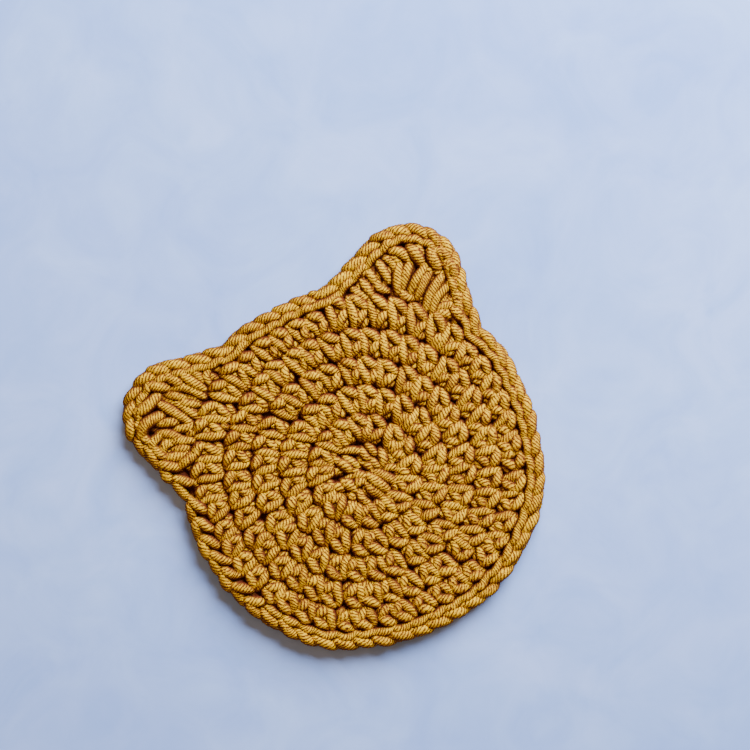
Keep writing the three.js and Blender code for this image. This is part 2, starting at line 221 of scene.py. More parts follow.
LEFT_EAR = (
    Laid(start=(-8.7, 61.1), crown=(-5.0, 60.5), end=(-1.7, 57.0), height=4.4, girth=1.41),
    Laid(start=(-2.3, 64.0), crown=(-0.4, 61.8), end=(3.3, 59.5), height=4.4, girth=1.47),
    Laid(start=(5.2, 63.2), crown=(6.0, 60.3), end=(6.3, 57.6), height=4.4, girth=1.36),
    Laid(start=(1.7, 58.6), crown=(0.6, 54.5), end=(-1.2, 48.8), height=4.1, girth=1.19),
    Laid(start=(-4.0, 57.6), crown=(-2.7, 54.9), end=(-2.1, 53.0), height=4.1, girth=1.24),
    Laid(start=(-4.0, 52.6), crown=(-2.9, 49.9), end=(-1.7, 47.4), height=3.9, girth=1.15),
    Laid(start=(4.3, 57.6), crown=(4.7, 54.5), end=(5.2, 51.5), height=3.9, girth=1.07),
    Laid(start=(2.9, 54.2), crown=(1.7, 50.7), end=(0.8, 48.0), height=4.0, girth=1.13),
    Laid(start=(3.5, 53.4), crown=(3.8, 50.7), end=(4.2, 48.0), height=3.9, girth=1.11),
    Laid(start=(6.7, 56.1), crown=(7.6, 52.6), end=(6.7, 47.6), height=4.0, girth=1.11),
    Laid(start=(6.2, 53.0), crown=(5.9, 50.3), end=(5.6, 47.6), height=3.5, girth=1.02),
    Laid(start=(9.8, 58.8), crown=(9.0, 56.1), end=(8.5, 53.6), height=4.1, girth=1.22),
    Laid(start=(11.3, 55.7), crown=(9.8, 51.5), end=(8.8, 48.0), height=4.2, girth=1.24),
    Laid(start=(12.4, 54.5), crown=(12.1, 51.5), end=(10.8, 48.4), height=3.9, girth=1.15),
    Laid(start=(10.2, 46.5), crown=(12.3, 48.0), end=(14.6, 48.2), height=3.9, girth=0.96),
    Laid(start=(-13.1, 55.7), crown=(-9.6, 57.4), end=(-6.5, 55.2), height=4.2, girth=1.19),
    Laid(start=(-6.5, 56.1), crown=(-5.8, 53.4), end=(-6.3, 50.3), height=4.2, girth=1.15),
    Laid(start=(-11.7, 53.8), crown=(-9.6, 54.0), end=(-8.1, 52.2), height=4.0, girth=1.22),
    Laid(start=(-12.5, 53.0), crown=(-11.5, 49.9), end=(-9.6, 47.4), height=4.0, girth=1.22),
    Laid(start=(-7.7, 54.2), crown=(-7.1, 50.3), end=(-6.0, 46.8), height=3.9, girth=1.15),
    Laid(start=(-9.8, 51.5), crown=(-9.1, 49.5), end=(-8.1, 47.6), height=3.9, girth=1.13),
    Laid(start=(-13.8, 48.4), crown=(-11.2, 46.8), end=(-8.3, 44.6), height=4.3, girth=1.33),
    Laid(start=(-10.8, 59.9), crown=(-11.7, 58.0), end=(-13.1, 56.1), height=3.9, girth=1.15),
    Laid(start=(-4.6, 48.6), crown=(-3.4, 47.8), end=(-1.9, 46.2), height=3.8, girth=1.13),
)
MIDDLE = (
    Laid(start=(3.5, -1.4), crown=(6.9, -3.0), end=(9.4, -4.2), height=4.3, girth=1.18),
    Laid(start=(1.9, -2.9), crown=(4.4, -4.7), end=(6.6, -6.3), height=4.5, girth=1.30),
    Laid(start=(1.6, -4.6), crown=(3.6, -6.5), end=(6.2, -7.9), height=4.1, girth=1.30),
    Laid(start=(0.9, -5.6), crown=(1.7, -7.2), end=(3.0, -8.6), height=3.7, girth=1.05),
    Laid(start=(0.8, 1.0), crown=(2.0, 0.2), end=(3.2, -0.9), height=3.8, girth=1.10),
    Laid(start=(-0.8, -7.0), crown=(0.4, -9.4), end=(2.8, -11.2), height=4.2, girth=1.04),
    Laid(start=(-4.7, 2.4), crown=(-2.4, 1.2), end=(-0.3, -0.2), height=4.2, girth=1.00),
    Laid(start=(-4.7, 4.0), crown=(-1.9, 4.2), end=(0.4, 3.8), height=4.3, girth=1.06),
    Laid(start=(0.4, 4.5), crown=(1.4, 3.0), end=(2.2, 1.8), height=4.2, girth=1.00),
    Laid(start=(1.5, 5.5), crown=(2.8, 4.4), end=(3.9, 3.1), height=4.1, girth=1.00),
    Laid(start=(-0.7, 2.2), crown=(0.4, 1.2), end=(0.6, 0.1), height=3.9, girth=0.90),
    Laid(start=(2.8, 1.8), crown=(3.9, 0.5), end=(5.3, -0.6), height=4.2, girth=1.00),
    Laid(start=(5.4, 4.2), crown=(6.2, 2.2), end=(6.0, -0.1), height=4.2, girth=1.10),
    Laid(start=(7.2, 4.0), crown=(8.1, 2.3), end=(7.9, 0.4), height=3.9, girth=0.95),
    Laid(start=(6.4, -1.0), crown=(8.5, -0.5), end=(11.0, -1.0), height=4.2, girth=1.00),
    Laid(start=(-5.7, 0.6), crown=(-4.4, -0.3), end=(-3.3, -1.3), height=4.2, girth=1.20),
    Laid(start=(-2.8, -0.9), crown=(-1.2, -1.4), end=(0.4, -2.0), height=3.8, girth=0.85),
    Laid(start=(-1.9, -2.8), crown=(-0.4, -2.5), end=(1.5, -2.7), height=4.2, girth=1.12),
    Laid(start=(-1.3, -5.4), crown=(-0.3, -4.3), end=(1.0, -3.7), height=4.1, girth=1.20),
    Laid(start=(-5.0, -4.6), crown=(-3.4, -5.1), end=(-1.9, -6.6), height=4.2, girth=1.32),
    Laid(start=(-3.5, -7.5), crown=(-2.7, -8.3), end=(-1.6, -9.1), height=3.6, girth=1.10),
    Laid(start=(-3.5, -2.7), crown=(-2.5, -3.1), end=(-1.5, -3.5), height=3.5, girth=0.90),
    Laid(start=(-7.8, -5.9), crown=(-6.4, -5.6), end=(-5.1, -6.4), height=4.1, girth=1.10),
    Laid(start=(-7.1, -2.6), crown=(-6.2, -1.6), end=(-5.6, -2.6), height=3.6, girth=0.90),
    Laid(start=(-7.6, 1.8), crown=(-6.7, 1.5), end=(-5.8, 0.6), height=3.9, girth=1.00),
)
MIDDLE_AXIS = 60.0  # the direction of its axis, in degrees
TAIL = 0.9  # how far a strand runs on past its ends, as it dips between its neighbours
TAIL_HEIGHT = 1.9
END_DIP = 0.6  # how much lower its ends lie than its crown
# Its thickness at the tips of its tails, at its ends and at its crown, as a part of
# its own girth
TAIL_GIRTH = 0.6
END_GIRTH = 0.92
CROWN_GIRTH = 1.14

# The strands underneath them, from an ear's base on the head to the edging.
POST_CORE = (
    Bend(across=0.36, out=0.02, height=2.00, girth=0.70),
    Bend(across=0.42, out=0.20, height=3.20, girth=1.00),
    Bend(across=0.56, out=0.60, height=3.20, girth=1.00),
    Bend(across=0.50, out=0.98, height=2.00, girth=0.70),
)
POST_FILL = (
    Bend(across=0.84, out=0.02, height=2.00, girth=0.70),
    Bend(across=0.90, out=0.20, height=3.20, girth=1.00),
    Bend(across=1.02, out=0.60, height=3.20, girth=1.00),
    Bend(across=1.00, out=0.98, height=2.00, girth=0.70),
)
POST_BACK_LEFT = (
    Bend(across=0.30, out=-0.10, height=2.30, girth=0.80),
    Bend(across=0.26, out=0.10, height=1.40, girth=1.00),
    Bend(across=0.24, out=0.50, height=1.30, girth=1.02),
    Bend(across=0.22, out=0.90, height=1.40, girth=1.00),
    Bend(across=0.20, out=1.04, height=2.30, girth=0.80),
)
POST_BACK_RIGHT = tuple(bend._replace(across=bend.across + 0.5) for bend in POST_BACK_LEFT)
INNER_POST = (POST_CORE, POST_FILL)
BACK_POST = (POST_BACK_LEFT, POST_BACK_RIGHT)

# One slip stitch of the edging. across counts stitch widths clockwise, inset is the
# distance in from the outline in millimetres.
EdgeBend = namedtuple("EdgeBend", "across inset height girth")
EDGE_ROPE = (
    EdgeBend(across=0.95, inset=4.70, height=4.00, girth=1.06),
    EdgeBend(across=0.60, inset=4.20, height=4.30, girth=1.20),
    EdgeBend(across=0.25, inset=4.45, height=4.15, girth=1.14),
)
EDGE_OUTER = (
    EdgeBend(across=1.36, inset=3.60, height=2.00, girth=0.70),
    EdgeBend(across=1.20, inset=3.20, height=3.10, girth=0.96),
    EdgeBend(across=0.86, inset=2.50, height=4.00, girth=1.16),
    EdgeBend(across=0.45, inset=1.75, height=4.10, girth=1.22),
    EdgeBend(across=0.08, inset=1.35, height=3.20, girth=1.06),
    EdgeBend(across=-0.10, inset=1.60, height=2.10, girth=0.85),
)
EDGE_UNDER_RIM = (
    EdgeBend(across=1.10, inset=2.30, height=2.20, girth=0.80),
    EdgeBend(across=0.80, inset=1.50, height=1.45, girth=0.98),
    EdgeBend(across=0.40, inset=1.45, height=1.30, girth=1.00),
    EdgeBend(across=0.00, inset=1.75, height=1.60, girth=0.95),
    EdgeBend(across=-0.18, inset=2.30, height=2.20, girth=0.80),
)
EDGE_UNDER_BODY = (
    EdgeBend(across=1.10, inset=3.40, height=2.30, girth=0.80),
    EdgeBend(across=0.75, inset=3.90, height=1.40, girth=1.00),
    EdgeBend(across=0.35, inset=4.10, height=1.30, girth=1.00),
    EdgeBend(across=0.00, inset=4.00, height=1.50, girth=0.98),
    EdgeBend(across=-0.15, inset=3.80, height=2.30, girth=0.80),
)
# On the left side the edging has rolled over, so that both legs of each slip stitch
# show, and the inner strand sinks under them.
ROLLED_OUTER = (
    EdgeBend(across=1.12, inset=3.00, height=2.20, girth=0.58),
    EdgeBend(across=0.99, inset=2.60, height=3.60, girth=0.98),
    EdgeBend(across=0.69, inset=1.90, height=4.10, girth=1.26),
    EdgeBend(across=0.34, inset=1.45, height=3.90, girth=1.24),
    EdgeBend(across=0.04, inset=1.30, height=3.10, girth=1.00),
    EdgeBend(across=-0.12, inset=1.50, height=2.00, girth=0.64),
)
ROLLED_INNER = (
    EdgeBend(across=1.12, inset=2.10, height=2.60, girth=0.60),
    EdgeBend(across=1.01, inset=2.50, height=4.10, girth=1.02),
    EdgeBend(across=0.78, inset=3.30, height=4.60, girth=1.32),
    EdgeBend(across=0.50, inset=4.30, height=4.60, girth=1.34),
    EdgeBend(across=0.24, inset=5.30, height=3.95, girth=1.06),
    EdgeBend(across=0.08, inset=6.00, height=2.60, girth=0.66),
)
ROLLED_FROM = 150.0  # directions from the middle of the head, in degrees
ROLLED_TO = 206.0
ROPE_SINK = 1.5
# The inner strand's two ends, tucked in where they meet
ROPE_END_HEIGHT = 2.0
ROPE_END_GIRTH = 0.8
FACE_EDGING = (EDGE_OUTER,)
ROLLED_EDGING = (ROLLED_OUTER, ROLLED_INNER)
BACK_EDGING = (EDGE_UNDER_RIM, EDGE_UNDER_BODY)
# The rim's bulge at three points along one slip stitch, as in the solid
RIM_BULGE = {"start": 0.25, "middle": 0.1, "end": -0.35}

# The painted shade between strands is deepest at this height.
FABRIC_MIDDLE = 2.7  # height halfway through the fabric

# The inner turns of the stitches, as a sheet between two heights
GROUND_TOP = 2.5
GROUND_BOTTOM = 2.1
GROUND_INSET = 2.2  # of its rim from the outline
GROUND_LUMP = 0.12
GROUND_RINGS = 16
GROUND_SIDES = 200
GROUND_SEED = 7

# Hand-worked unevenness: the most that a strand's bend strays either way, in
# millimetres and as a part of its girth, and then the same for a whole strand.
SIDE_PLAY = 0.22
HEIGHT_PLAY = 0.2
GIRTH_PLAY = 0.04
STRAND_SIDE_PLAY = 0.2
STRAND_HEIGHT_PLAY = 0.16
STRAND_GIRTH_PLAY = 0.05
# How far a whole stitch strays along its row, in stitch widths
ROUND_PLAY = 0.1
FIRST_ROUND_LOOSENESS = 2.2  # times as far in the first round
POST_PLAY = 0.06
EDGING_PLAY = 0.05
play = random.Random(41)  # a fixed seed, so that every run lays the same coaster

# How stitches sit in their rows
CLEARANCE = 0.15  # between any strand and the table
FIRST_ROUND_GIRTH = 0.82  # the first round is pulled tight, so its strands are thinner
SMALLEST_RADIUS = 1.0  # no stitch of the first round reaches closer to its middle
TUCK = 0.7  # how far the last round slips under the edging
EAR_TUCK = -1.9  # the same under an ear, where it stands out past the drawn round instead
EAR_REACH = 25.0  # degrees to either side of an ear's axis where it does
FOOT_PULL = 0.4  # share of the way that a stitch's foot leans to the one it is worked into
FOOT_REACH = 0.7  # share of the stitch's height by which that lean has died out
FOOT_EASE = 1.5  # above 1 it dies out quicker near the foot
POST_OVERLAP = 0.8  # how far an ear's posts run on under the edging
EAR_SEARCH_STEPS = 2000  # places round the outline that are tried, to find an ear's ends

# The rim's outer side gets no painted shade. The painted shade between strands sets in over this stretch of
# the edging, measured in from the outline.
SHADE_FROM = 1.0
SHADE_STRETCH = 3.0


def heading(angle):
    return Vector((math.cos(angle), math.sin(angle)))


def mix(low, high, share):
    return low + (high - low) * share


def limited(share):
    return min(max(share, 0.0), 1.0)


def drift_at(angle):
    """The outline's drift, eased from one row of the table to the next."""
    degrees = (math.degrees(angle) + 180) % 360 - 180
    directions = [row.direction for row in OUTLINE_DRIFT]
    following = bisect.bisect_right(directions, degrees) % len(directions)
    before = OUTLINE_DRIFT[following - 1]
    after = OUTLINE_DRIFT[following]
    span = (after.direction - before.direction) % 360
    done = ((degrees - before.direction) % 360) / span
    return mix(before.out, after.out, done * done * (3 - 2 * done))


# A stretch of the outline: at(share) gives a place on it and its outward direction.
Stretch = namedtuple("Stretch", "length at ear")


def arc(centre, radius, start, end, ear=None):
    """A round stretch. A hollow corner has a negative radius."""
    def at(share):
        outward = heading(mix(start, end, share))
        return centre + radius * outward, outward
    return Stretch(abs(radius * (end - start)), at, ear)


def straight(start, end, outward, ear):
    return Stretch((end - start).length, lambda share: (start.lerp(end, share), outward), ear)


# One flank of an ear: the centre of the hollow corner at its foot, its straight's two
# ends, and the direction in which it faces.
Flank = namedtuple("Flank", "corner foot shoulder outward")
# The stretches round one ear, and the directions between which it stands.
EarOutline = namedtuple("EarOutline", "start end stretches")


def ear_outline(ear):
    middle = math.radians(ear.axis)
    flank_turn = math.radians(90 - EAR_FLANK_LEAN)
    tip_distance = ear.reach - EAR_TIP_RADIUS
    flank_distance = tip_distance * math.cos(flank_turn) + EAR_TIP_RADIUS
    fillet_turn = flank_turn - math.acos((flank_distance + EAR_FILLET) / (HEAD_RADIUS + EAR_FILLET))
    tip = tip_distance * heading(middle)

    def flank(side):
        outward = heading(middle + side * flank_turn)
        corner = (HEAD_RADIUS + EAR_FILLET) * heading(middle + side * fillet_turn)
        return Flank(corner, corner - EAR_FILLET * outward, tip + EAR_TIP_RADIUS * outward, outward)

    right = flank(-1)
    left = flank(1)
    stretches = (
        arc(right.corner, -EAR_FILLET, middle - fillet_turn, middle - flank_turn, ear),
        straight(right.foot, right.shoulder, right.outward, ear),
        arc(tip, EAR_TIP_RADIUS, middle - flank_turn, middle + flank_turn, ear),
        straight(left.shoulder, left.foot, left.outward, ear),
        arc(left.corner, -EAR_FILLET, middle + flank_turn, middle + fillet_turn, ear),
    )
    return EarOutline(middle - fillet_turn, middle + fillet_turn, stretches)


EAR_OUTLINES = {ear.name: ear_outline(ear) for ear in EARS}


def whole_outline():
    """The outline's stretches, counter-clockwise from where the left ear meets the head."""
    stretches = []
    head_start = EAR_OUTLINES[EARS[-1].name].end - 2 * math.pi
    for ear in EARS:
        round_ear = EAR_OUTLINES[ear.name]
        stretches.append(arc(Vector((0, 0)), HEAD_RADIUS, head_start, round_ear.start))
        stretches.extend(round_ear.stretches)
        head_start = round_ear.end
    return stretches


OUTLINE = whole_outline()
OUTLINE_LENGTH = sum(stretch.length for stretch in OUTLINE)


def outline_place(share, inset):
    """A place on the outline, moved in by an inset, and the ear that it lies on."""
    rest = (share % 1.0) * OUTLINE_LENGTH
    for stretch in OUTLINE:
        if rest <= stretch.length:
            break
        rest -= stretch.length
    place, outward = stretch.at(min(rest / stretch.length, 1.0))
    return place + (drift_at(math.atan2(place.y, place.x)) - inset) * outward, stretch.ear


def middle_of_head():
    """The head's middle in the part's frame, whose origin is the middle of its box."""
    bulges = list(RIM_BULGE.values())
    count = EDGING_STITCHES * len(bulges)
    rim = []
    for step in range(count):
        bulge = bulges[len(bulges) - 1 - step % len(bulges)]
        rim.append(outline_place(step / count, -bulge)[0])
    xs = [place.x for place in rim]
    ys = [place.y for place in rim]
    return -Vector(((min(xs) + max(xs)) / 2, (min(ys) + max(ys)) / 2))


HEAD_MIDDLE = middle_of_head()


def round_place(radius, angle):
    """A place in the rounds, whose middle slides to the head's as they grow."""
    grown = (radius / ROUNDS[-1].outer) ** 2
    return FIRST_ROUND_SHIFT * (1 - grown) + (radius + drift_at(angle) * grown) * heading(angle)


# A place on a strand's path, in the part's frame in millimetres. girth is the yarn's thickness there, and
# the last field how much of the painted shade between strands it takes.
Spot = namedtuple("Spot", "x y z girth pressed")


def lay_strand(bends, place_of, fullness=1.0):
    """Turns one row of bends into a path, with a little hand-worked unevenness. place_of
    gives a bend's place from the head's middle, and fullness thickens the whole strand."""
    path = []
    strand_shift = Vector((play.uniform(-1, 1), play.uniform(-1, 1))) * STRAND_SIDE_PLAY
    strand_height = play.uniform(-1, 1) * STRAND_HEIGHT_PLAY
    fullness *= 1 + play.uniform(-1, 1) * STRAND_GIRTH_PLAY
    for bend in bends:
        place = place_of(bend) + HEAD_MIDDLE + strand_shift
        shift = Vector((play.uniform(-1, 1), play.uniform(-1, 1))) * SIDE_PLAY
        height = bend.height + strand_height + play.uniform(-1, 1) * HEIGHT_PLAY
        girth = bend.girth * fullness * (1 + play.uniform(-1, 1) * GIRTH_PLAY)
        height = max(height, YARN_RADIUS * girth + CLEARANCE)
        on_edging = isinstance(bend, EdgeBend)
        # Painted shade between strands: none on the rim's open outer side, full elsewhere.
        pressed = limited((bend.inset - SHADE_FROM) / SHADE_STRETCH) if on_edging else 1.0
        path.append(Spot(place.x + shift.x, place.y + shift.y, height, girth, pressed))
    return path


def foot_shift(this, below, stitch):
    """How far a stitch's foot leans clockwise, in stitch widths, to the stitch below."""
    if below is None:
        return 0.0
    in_sector = this.stitches // SECTORS
    sector, place = divmod(stitch, in_sector)
    under = place - (1 if place >= this.widened else 0)
    own = (stitch + 0.5) / this.stitches
    parent = (sector * (in_sector - 1) + max(under, 0) + 0.5) / below.stitches
    return (parent - own) * this.stitches


def tuck_of(this, direction):
    """How far a round slips under the edging in a direction, given in degrees."""
    if this is not ROUNDS[-1]:
        return 0.0
    if any(abs(direction - ear.axis) < EAR_REACH for ear in EARS):
        return EAR_TUCK
    return TUCK


def round_strands(index, stitch_shape):
    """One kind of strands in one round of the head."""
    this = ROUNDS[index]
    below = ROUNDS[index - 1] if index else None
    looseness = 1.0 if index else FIRST_ROUND_LOOSENESS
    fullness = 1.0 if index else FIRST_ROUND_GIRTH
    leans = [foot_shift(this, below, stitch) for stitch in range(this.stitches)]
    usual = sum(leans) / len(leans)
    strands = []
    for stitch in range(this.stitches):
        lean = FOOT_PULL * (leans[stitch] - usual)
        tuck = tuck_of(this, (this.start - (stitch + 0.5) / this.stitches * 360) % 360)
        slip = play.uniform(-ROUND_PLAY, ROUND_PLAY) * looseness

        def place_of(bend):
            held = lean
            if bend.out > 0:
                held *= max(0.0, 1 - bend.out / FOOT_REACH) ** FOOT_EASE
            turn = this.start / 360 - (stitch + bend.across + slip + held) / this.stitches
            radius = max(mix(this.inner, this.outer - tuck, bend.out), SMALLEST_RADIUS)
            return round_place(radius, turn * 2 * math.pi)

        for bends in stitch_shape:
            strands.append(lay_strand(bends, place_of, fullness))
    return strands


def ear_strands(ear, stitch_shape):
    """One kind of strands in the fan of tall stitches on one ear."""
    round_ear = EAR_OUTLINES[ear.name]
    shares = [step / EAR_SEARCH_STEPS for step in range(EAR_SEARCH_STEPS)]
    on_ear = [share for share in shares if outline_place(share, EDGING_WIDTH)[1] is ear]
    strands = []
    for post in range(EAR_POSTS):
        slip = play.uniform(-POST_PLAY, POST_PLAY)

        def place_of(bend):
            spread = limited(1 - (post + bend.across + slip) / EAR_POSTS)
            turn = mix(round_ear.start, round_ear.end, spread)
            base = round_place(HEAD_RADIUS - EDGING_WIDTH, turn)
            rim_share = mix(on_ear[0], on_ear[-1], spread)
            rim = outline_place(rim_share, EDGING_WIDTH - POST_OVERLAP)[0]
            return base + (rim - base) * bend.out

        foot = place_of(Bend(across=0.5, out=0.0, height=0.0, girth=0.0))
        head = place_of(Bend(across=0.5, out=1.0, height=0.0, girth=0.0))
        has_all = (head - foot).length > LOW_POST
        for bends in stitch_shape if has_all else stitch_shape[:1]:
            strands.append(lay_strand(bends, place_of))
    return strands


def laid_strands(degrees, rows):
    """Strands laid one by one along an axis, each dipping between its neighbours at its ends."""
    axis = heading(math.radians(degrees))
    clockwise = heading(math.radians(degrees - 90))

    def place_of(bend):
        return bend.across * clockwise + bend.out * axis

    strands = []
    for row in rows:
        start = Vector(row.start)
        crown = Vector(row.crown)
        end = Vector(row.end)
        tail_before = start + (start - crown).normalized() * TAIL
        tail_after = end + (end - crown).normalized() * TAIL
        tail_girth = row.girth * TAIL_GIRTH
        end_height = row.height - END_DIP
        end_girth = row.girth * END_GIRTH
        strands.append(lay_strand((
            Bend(*tail_before, height=TAIL_HEIGHT, girth=tail_girth),
            Bend(*start, height=end_height, girth=end_girth),
            Bend(*crown, height=row.height, girth=row.girth * CROWN_GIRTH),
            Bend(*end, height=end_height, girth=end_girth),
            Bend(*tail_after, height=TAIL_HEIGHT, girth=tail_girth),
        ), place_of))
    return strands


def is_rolled(stitch):
    """Whether a slip stitch lies where the edging has rolled over."""
    place = outline_place(1 - (stitch + 0.5) / EDGING_STITCHES, 0.0)[0]
    return ROLLED_FROM < math.degrees(math.atan2(place.y, place.x)) % 360 < ROLLED_TO


def edging_strands(stitch_shape, rolled_shape):
    """One kind of strands in the slip stitches round the outline."""
    strands = []
    for stitch in range(EDGING_STITCHES):
        slip = play.uniform(-EDGING_PLAY, EDGING_PLAY)

        def place_of(bend):
            share = 1 - (stitch + bend.across + slip) / EDGING_STITCHES
            return outline_place(share, bend.inset)[0]

        for bends in rolled_shape if is_rolled(stitch) else stitch_shape:
            strands.append(lay_strand(bends, place_of))
    return strands


def edging_rope():
    """The inner strand of the edging, which runs on from stitch to stitch all round."""
    bends = []
    for stitch in reversed(range(EDGING_STITCHES)):
        sink = ROPE_SINK if is_rolled(stitch) else 0.0
        for bend in EDGE_ROPE:
            bends.append(bend._replace(across=bend.across + stitch, height=bend.height - sink))
    for end in (0, -1):
        bends[end] = bends[end]._replace(height=ROPE_END_HEIGHT, girth=ROPE_END_GIRTH)

    def place_of(bend):
        return outline_place(1 - bend.across / EDGING_STITCHES, bend.inset)[0]

    return lay_strand(bends, place_of)


def linear(colour):
    """An sRGB hex colour as linear red, green, blue and full alpha."""
    parts = [int(colour[at:at + 2], 16) / 255 for at in (1, 3, 5)]
    return tuple(
        part / 12.92 if part <= 0.04045 else ((part + 0.055) / 1.055) ** 2.4 for part in parts
    ) + (1.0,)


def lumps_of(size):
    """The scale of a noise pattern whose lumps have a size in millimetres."""
    return 1 / (size * MM)


def add_node(tree, kind, inputs=None, **settings):
    """Adds a node. inputs maps a socket's name or number to a value, to another socket,
    or to another node, whose first output it takes."""
    made = tree.nodes.new(kind)
    for name, value in settings.items():
        setattr(made, name, value)
    for key, value in (inputs or {}).items():
        if isinstance(value, bpy.types.Node):
            value = value.outputs[0]
        if isinstance(value, bpy.types.NodeSocket):
            tree.links.new(value, made.inputs[key])
        else:
            made.inputs[key].default_value = value
    return made


def new_material(name):
    material = bpy.data.materials.new(name)
    material.use_nodes = True
    material.node_tree.nodes.clear()
    return material, material.node_tree


# The cotton's finish and its painted shade, with its sizes in millimetres. A share of 0 is its darkest
# painted shade and 1 its brightest.
FIBRE_TUFT = 0.2857  # the finest tufts of fibres that show
FLUFF_PATCH = 0.909  # over which plies fluff up unevenly
INNER_LUMP = 1.111  # of the fluff on the inner turns
PLY_STRAY = 1.25  # how far fluff pushes the lines between plies about, in ply widths
# The lines between plies are painted shade in their grooves.
PLY_LINE = 0.34  # how far a line's shade reaches into the ply, in ply widths
DYE_LEAST = 0.92  # what the darkest strand keeps of its share
DYE_SPREAD = 0.16  # and how much more the brightest has
FLUFF_LEAST = 0.6  # what a sleek ply keeps of its share
FLUFF_SPREAD = 0.8  # and how much more a fluffed-up one has
SPECKLE = 0.9  # the share that the brightest tufts of fibres add
SPECKLE_DROP = -0.46  # and what comes off all over, so that the mean stays

# The ramp's two darkest stops are painted shade in crevices and in the lines between plies; the brightest
# is the mustard dye.
ToneStop = namedtuple("ToneStop", "share colour")
MUSTARD_AND_PAINTED_SHADE = (
    ToneStop(share=0.0, colour="#62220C"),
    ToneStop(share=0.42, colour="#622C17"),
    ToneStop(share=0.8, colour="#BA7214"),
    ToneStop(share=1.0, colour="#FFB800"),
)


def ply_ridges(tree, fluff):
    """0 on the lines between plies, rising to 1 on the ridge of each ply."""
    # Where a point lies on the strand's section: whole numbers are the lines between plies
    across = add_node(tree, "ShaderNodeAttribute", attribute_name="section_x").outputs["Fac"]
    up = add_node(tree, "ShaderNodeAttribute", attribute_name="section_y").outputs["Fac"]
    around = add_node(tree, "ShaderNodeMath", {0: up, 1: across}, operation="ARCTAN2")
    plies = add_node(tree, "ShaderNodeMath", {0: around, 1: PLIES / (2 * math.pi)}, operation="MULTIPLY")
    strayed = add_node(tree, "ShaderNodeMath", {0: fluff, 1: PLY_STRAY, 2: plies}, operation="MULTIPLY_ADD")
    # The distance to the nearest whole number, half a ply at most
    from_line = add_node(tree, "ShaderNodeMath", {0: strayed, 1: 0.5}, operation="PINGPONG")
    return add_node(tree, "ShaderNodeMapRange", {
        "Value": from_line, "From Min": 0.0, "From Max": PLY_LINE,
    }, interpolation_type="SMOOTHSTEP")


def felted_lines(tree, ridge, fluff):
    """The share that the painted shade of the lines between plies leaves. The lines break where fibres of
    two plies have felted.
    """
    felted = add_node(tree, "ShaderNodeMapRange", {
        "Value": fluff, "From Min": 0.4, "From Max": 0.66, "To Min": 0.12, "To Max": 0.7,
    })
    return add_node(tree, "ShaderNodeMapRange", {"Value": ridge, "To Min": felted, "To Max": 1.0})


def painted_shade_between_strands(tree, place):
    """The share that the painted shade between strands leaves. The strands take the dye right through; the
    deep red-brown deep inside the fabric and on a strand's flanks, where strands press together, is painted
    shade."""
    depth = add_node(tree, "ShaderNodeSeparateXYZ", {"Vector": place})
    above = add_node(tree, "ShaderNodeMath", {
        0: depth.outputs["Z"], 1: FABRIC_MIDDLE * MM,
    }, operation="SUBTRACT")
    away = add_node(tree, "ShaderNodeMath", {0: above}, operation="ABSOLUTE")
    outer = add_node(tree, "ShaderNodeMapRange", {
        "Value": away, "From Min": 0.2 * MM, "From Max": 2.2 * MM,
    }, interpolation_type="SMOOTHSTEP")
    facing = add_node(tree, "ShaderNodeAttribute", attribute_name="facing").outputs["Fac"]
    flank = add_node(tree, "ShaderNodeMapRange", {
        "Value": facing, "From Min": 0.2, "From Max": 0.92, "To Min": 0.1,
    }, interpolation_type="SMOOTHSTEP")
    clear = add_node(tree, "ShaderNodeMath", {0: outer, 1: flank}, operation="MULTIPLY")
    pressed = add_node(tree, "ShaderNodeAttribute", attribute_name="pressed").outputs["Fac"]
    return add_node(tree, "ShaderNodeMix", {"Factor": pressed, 2: 1.0, 3: clear}, data_type="FLOAT")


def wear_and_painted_shade(tree, painted_shading, fluff, fibres):
    """The share that painted shade leaves, made uneven: by how each strand took the dye, by fluff and by
    fibre tufts.
    """
    tint = add_node(tree, "ShaderNodeAttribute", attribute_name="tint").outputs["Fac"]
    batch = add_node(tree, "ShaderNodeMath", {
        0: tint, 1: DYE_SPREAD, 2: DYE_LEAST,
    }, operation="MULTIPLY_ADD")
    dyed_with_painted_shade = add_node(tree, "ShaderNodeMath", {0: painted_shading, 1: batch}, operation="MULTIPLY")
    fluffed = add_node(tree, "ShaderNodeMath", {
        0: fluff, 1: FLUFF_SPREAD, 2: FLUFF_LEAST,
    }, operation="MULTIPLY_ADD")
    uneven = add_node(tree, "ShaderNodeMath", {0: dyed_with_painted_shade, 1: fluffed}, operation="MULTIPLY")
    speckle = add_node(tree, "ShaderNodeMath", {
        0: fibres, 1: SPECKLE, 2: SPECKLE_DROP,
    }, operation="MULTIPLY_ADD")
    return add_node(tree, "ShaderNodeMath", {0: uneven, 1: speckle}, operation="ADD")
